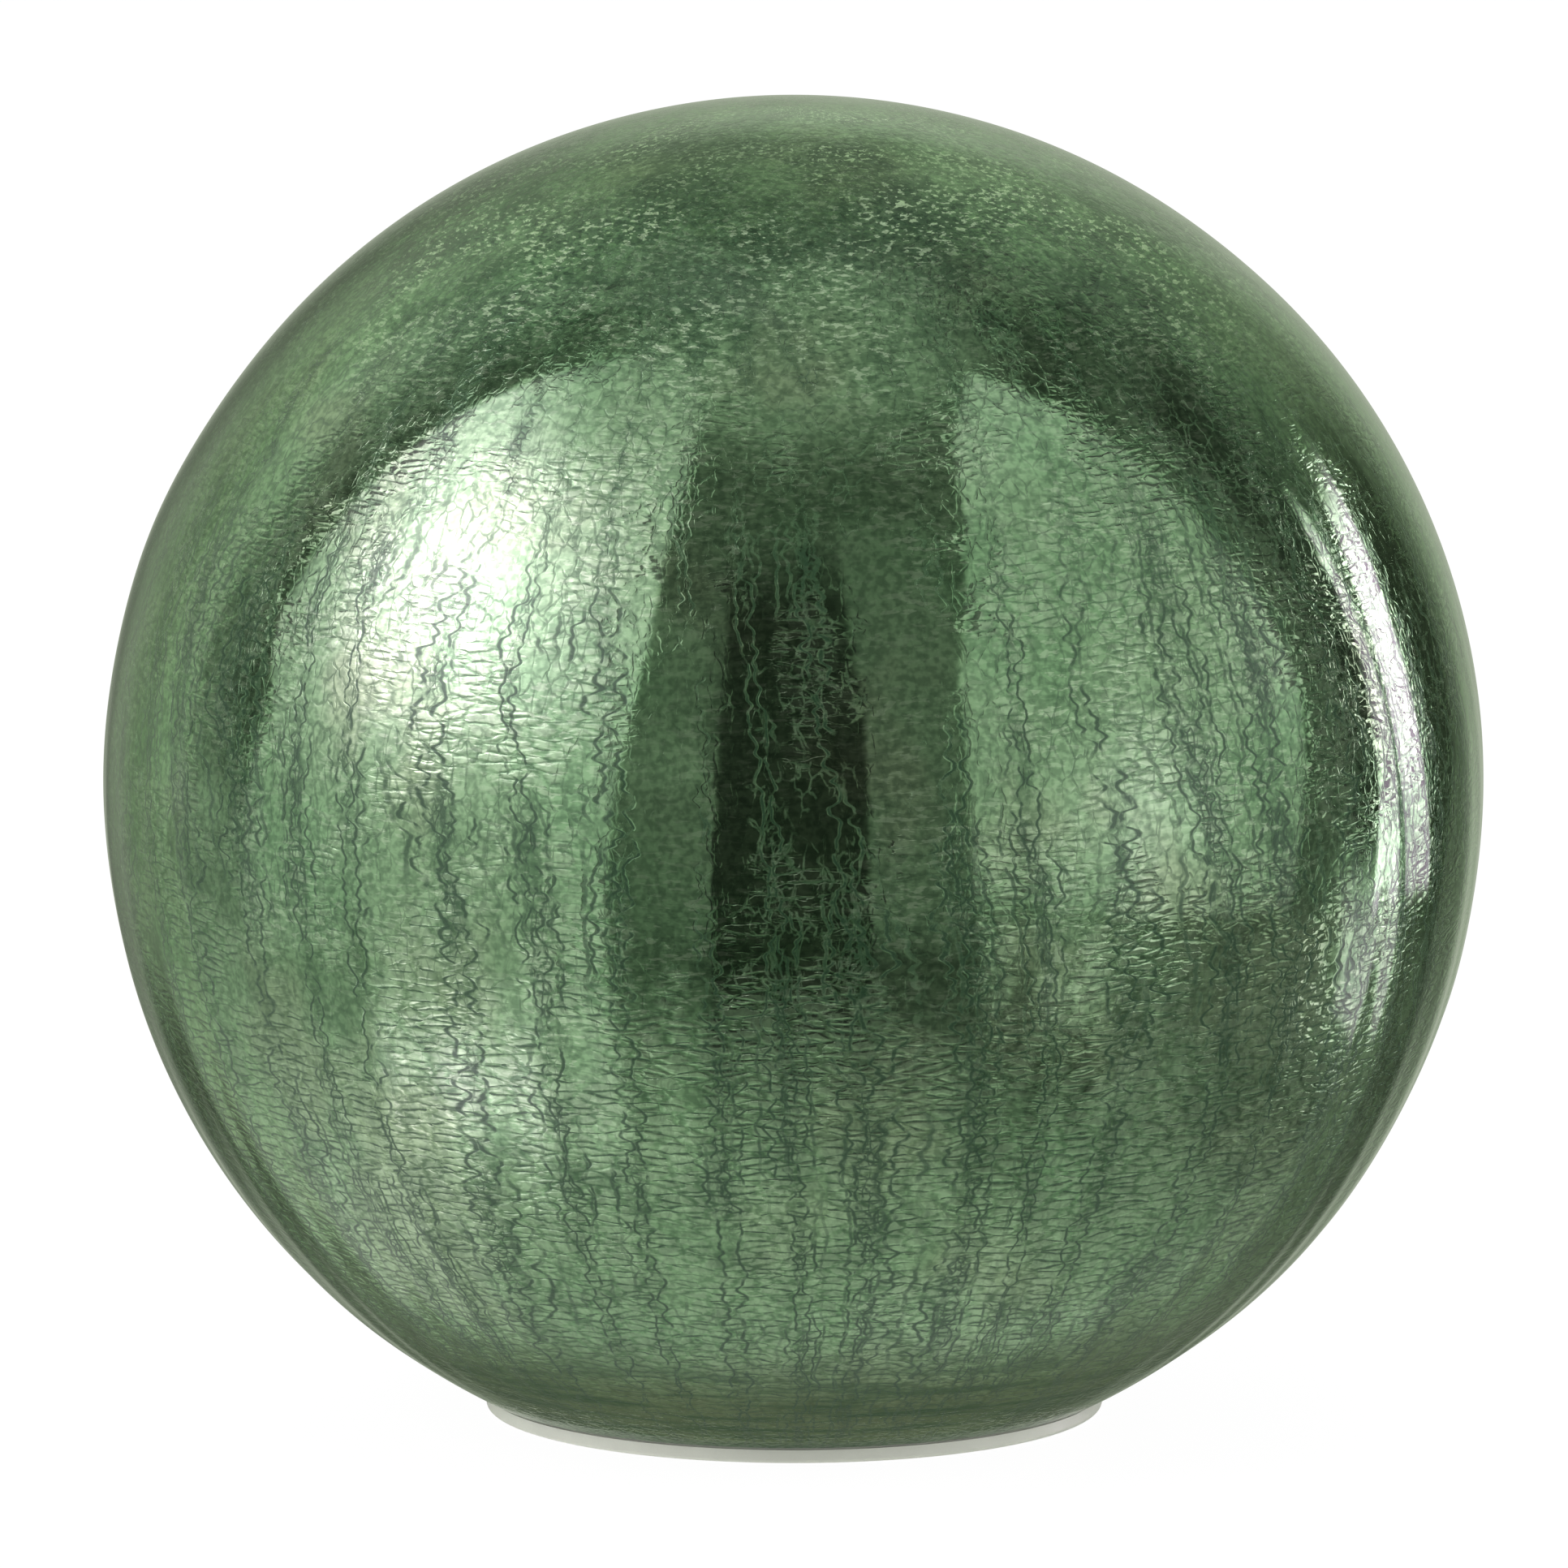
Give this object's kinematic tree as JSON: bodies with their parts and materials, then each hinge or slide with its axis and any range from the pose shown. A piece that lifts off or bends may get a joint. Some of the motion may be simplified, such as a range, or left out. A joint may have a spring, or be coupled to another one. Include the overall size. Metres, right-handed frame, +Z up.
{
  "type": "led glass ball",
  "caption": "Crackled mirror-glass ball light on a clear base plug, with a wound light string inside, a hinged battery door and a slide switch underneath.",
  "frame": {"origin": "on the surface that the ball stands on, at the centre of the foot ring", "axes": "+Z up through the ball's centre, +Y away from the viewer, +X to the viewer's right"},
  "size_m": [0.2, 0.2, 0.1914],
  "materials": {
    "mirrored_glass": "crackled, green mirror coating inside, glossy outside",
    "clear_sealant": "clear, matt bead",
    "frosted_plastic": "translucent, satin",
    "cell_wrap": "plain printed wrap",
    "plated_steel": "nickel plated",
    "black_rubber": "matt",
    "board_laminate": "solder mask over glass fibre",
    "black_plastic": "moulded",
    "aluminium_can": "drawn can",
    "brown_laminate": "phenolic board",
    "red_insulation": "smooth",
    "black_insulation": "smooth",
    "white_insulation": "smooth",
    "clear_insulation": "clear",
    "clear_plastic": "clear rolled sheet",
    "copper_wire": "enamelled",
    "clear_resin": "clear drop"
  },
  "bodies": {
    "base": {"glass_ball": "mirrored_glass", "rim_seal": "clear_sealant", "base_tray": "frosted_plastic", "battery_1": "cell_wrap", "battery_2": "cell_wrap", "battery_3": "cell_wrap", "contact_positive": "plated_steel", "contact_negative": "plated_steel", "contact_bridge_front": "plated_steel", "contact_bridge_rear": "plated_steel", "contact_spring_1": "plated_steel", "contact_spring_2": "plated_steel", "contact_spring_3": "plated_steel", "top_cover": "frosted_plastic", "gland_grommet": "black_rubber", "control_board": "board_laminate", "timer_chip": "black_plastic", "board_capacitor": "aluminium_can", "timer_crystal": "aluminium_can", "board_resistors": "black_plastic", "switch_frame": "plated_steel", "switch_terminals": "brown_laminate", "cover_screws": "plated_steel", "board_screws": "plated_steel", "switch_screws": "plated_steel", "battery_lead_red": "red_insulation", "battery_lead_black": "black_insulation", "switch_leads": "white_insulation", "string_lead": "clear_insulation", "splice_sleeve": "clear_insulation", "light_former": "clear_plastic", "led_wire": "copper_wire", "led_drops": "clear_resin"},
    "door": {"battery_door": "frosted_plastic"},
    "knob": {"switch_knob": "black_plastic"}
  },
  "joints": [
    {"name": "door_hinge", "type": "hinge", "parent": "base", "child": "door", "pos_m": [0, -0.03012, 0.0016], "axis": [-1, 0, 0], "range_deg": [0, 95]},
    {"name": "switch_slide", "type": "slide", "parent": "base", "child": "knob", "axis": [0, 1, 0], "range_m": [-0.0022, 0.0022]}
  ]
}
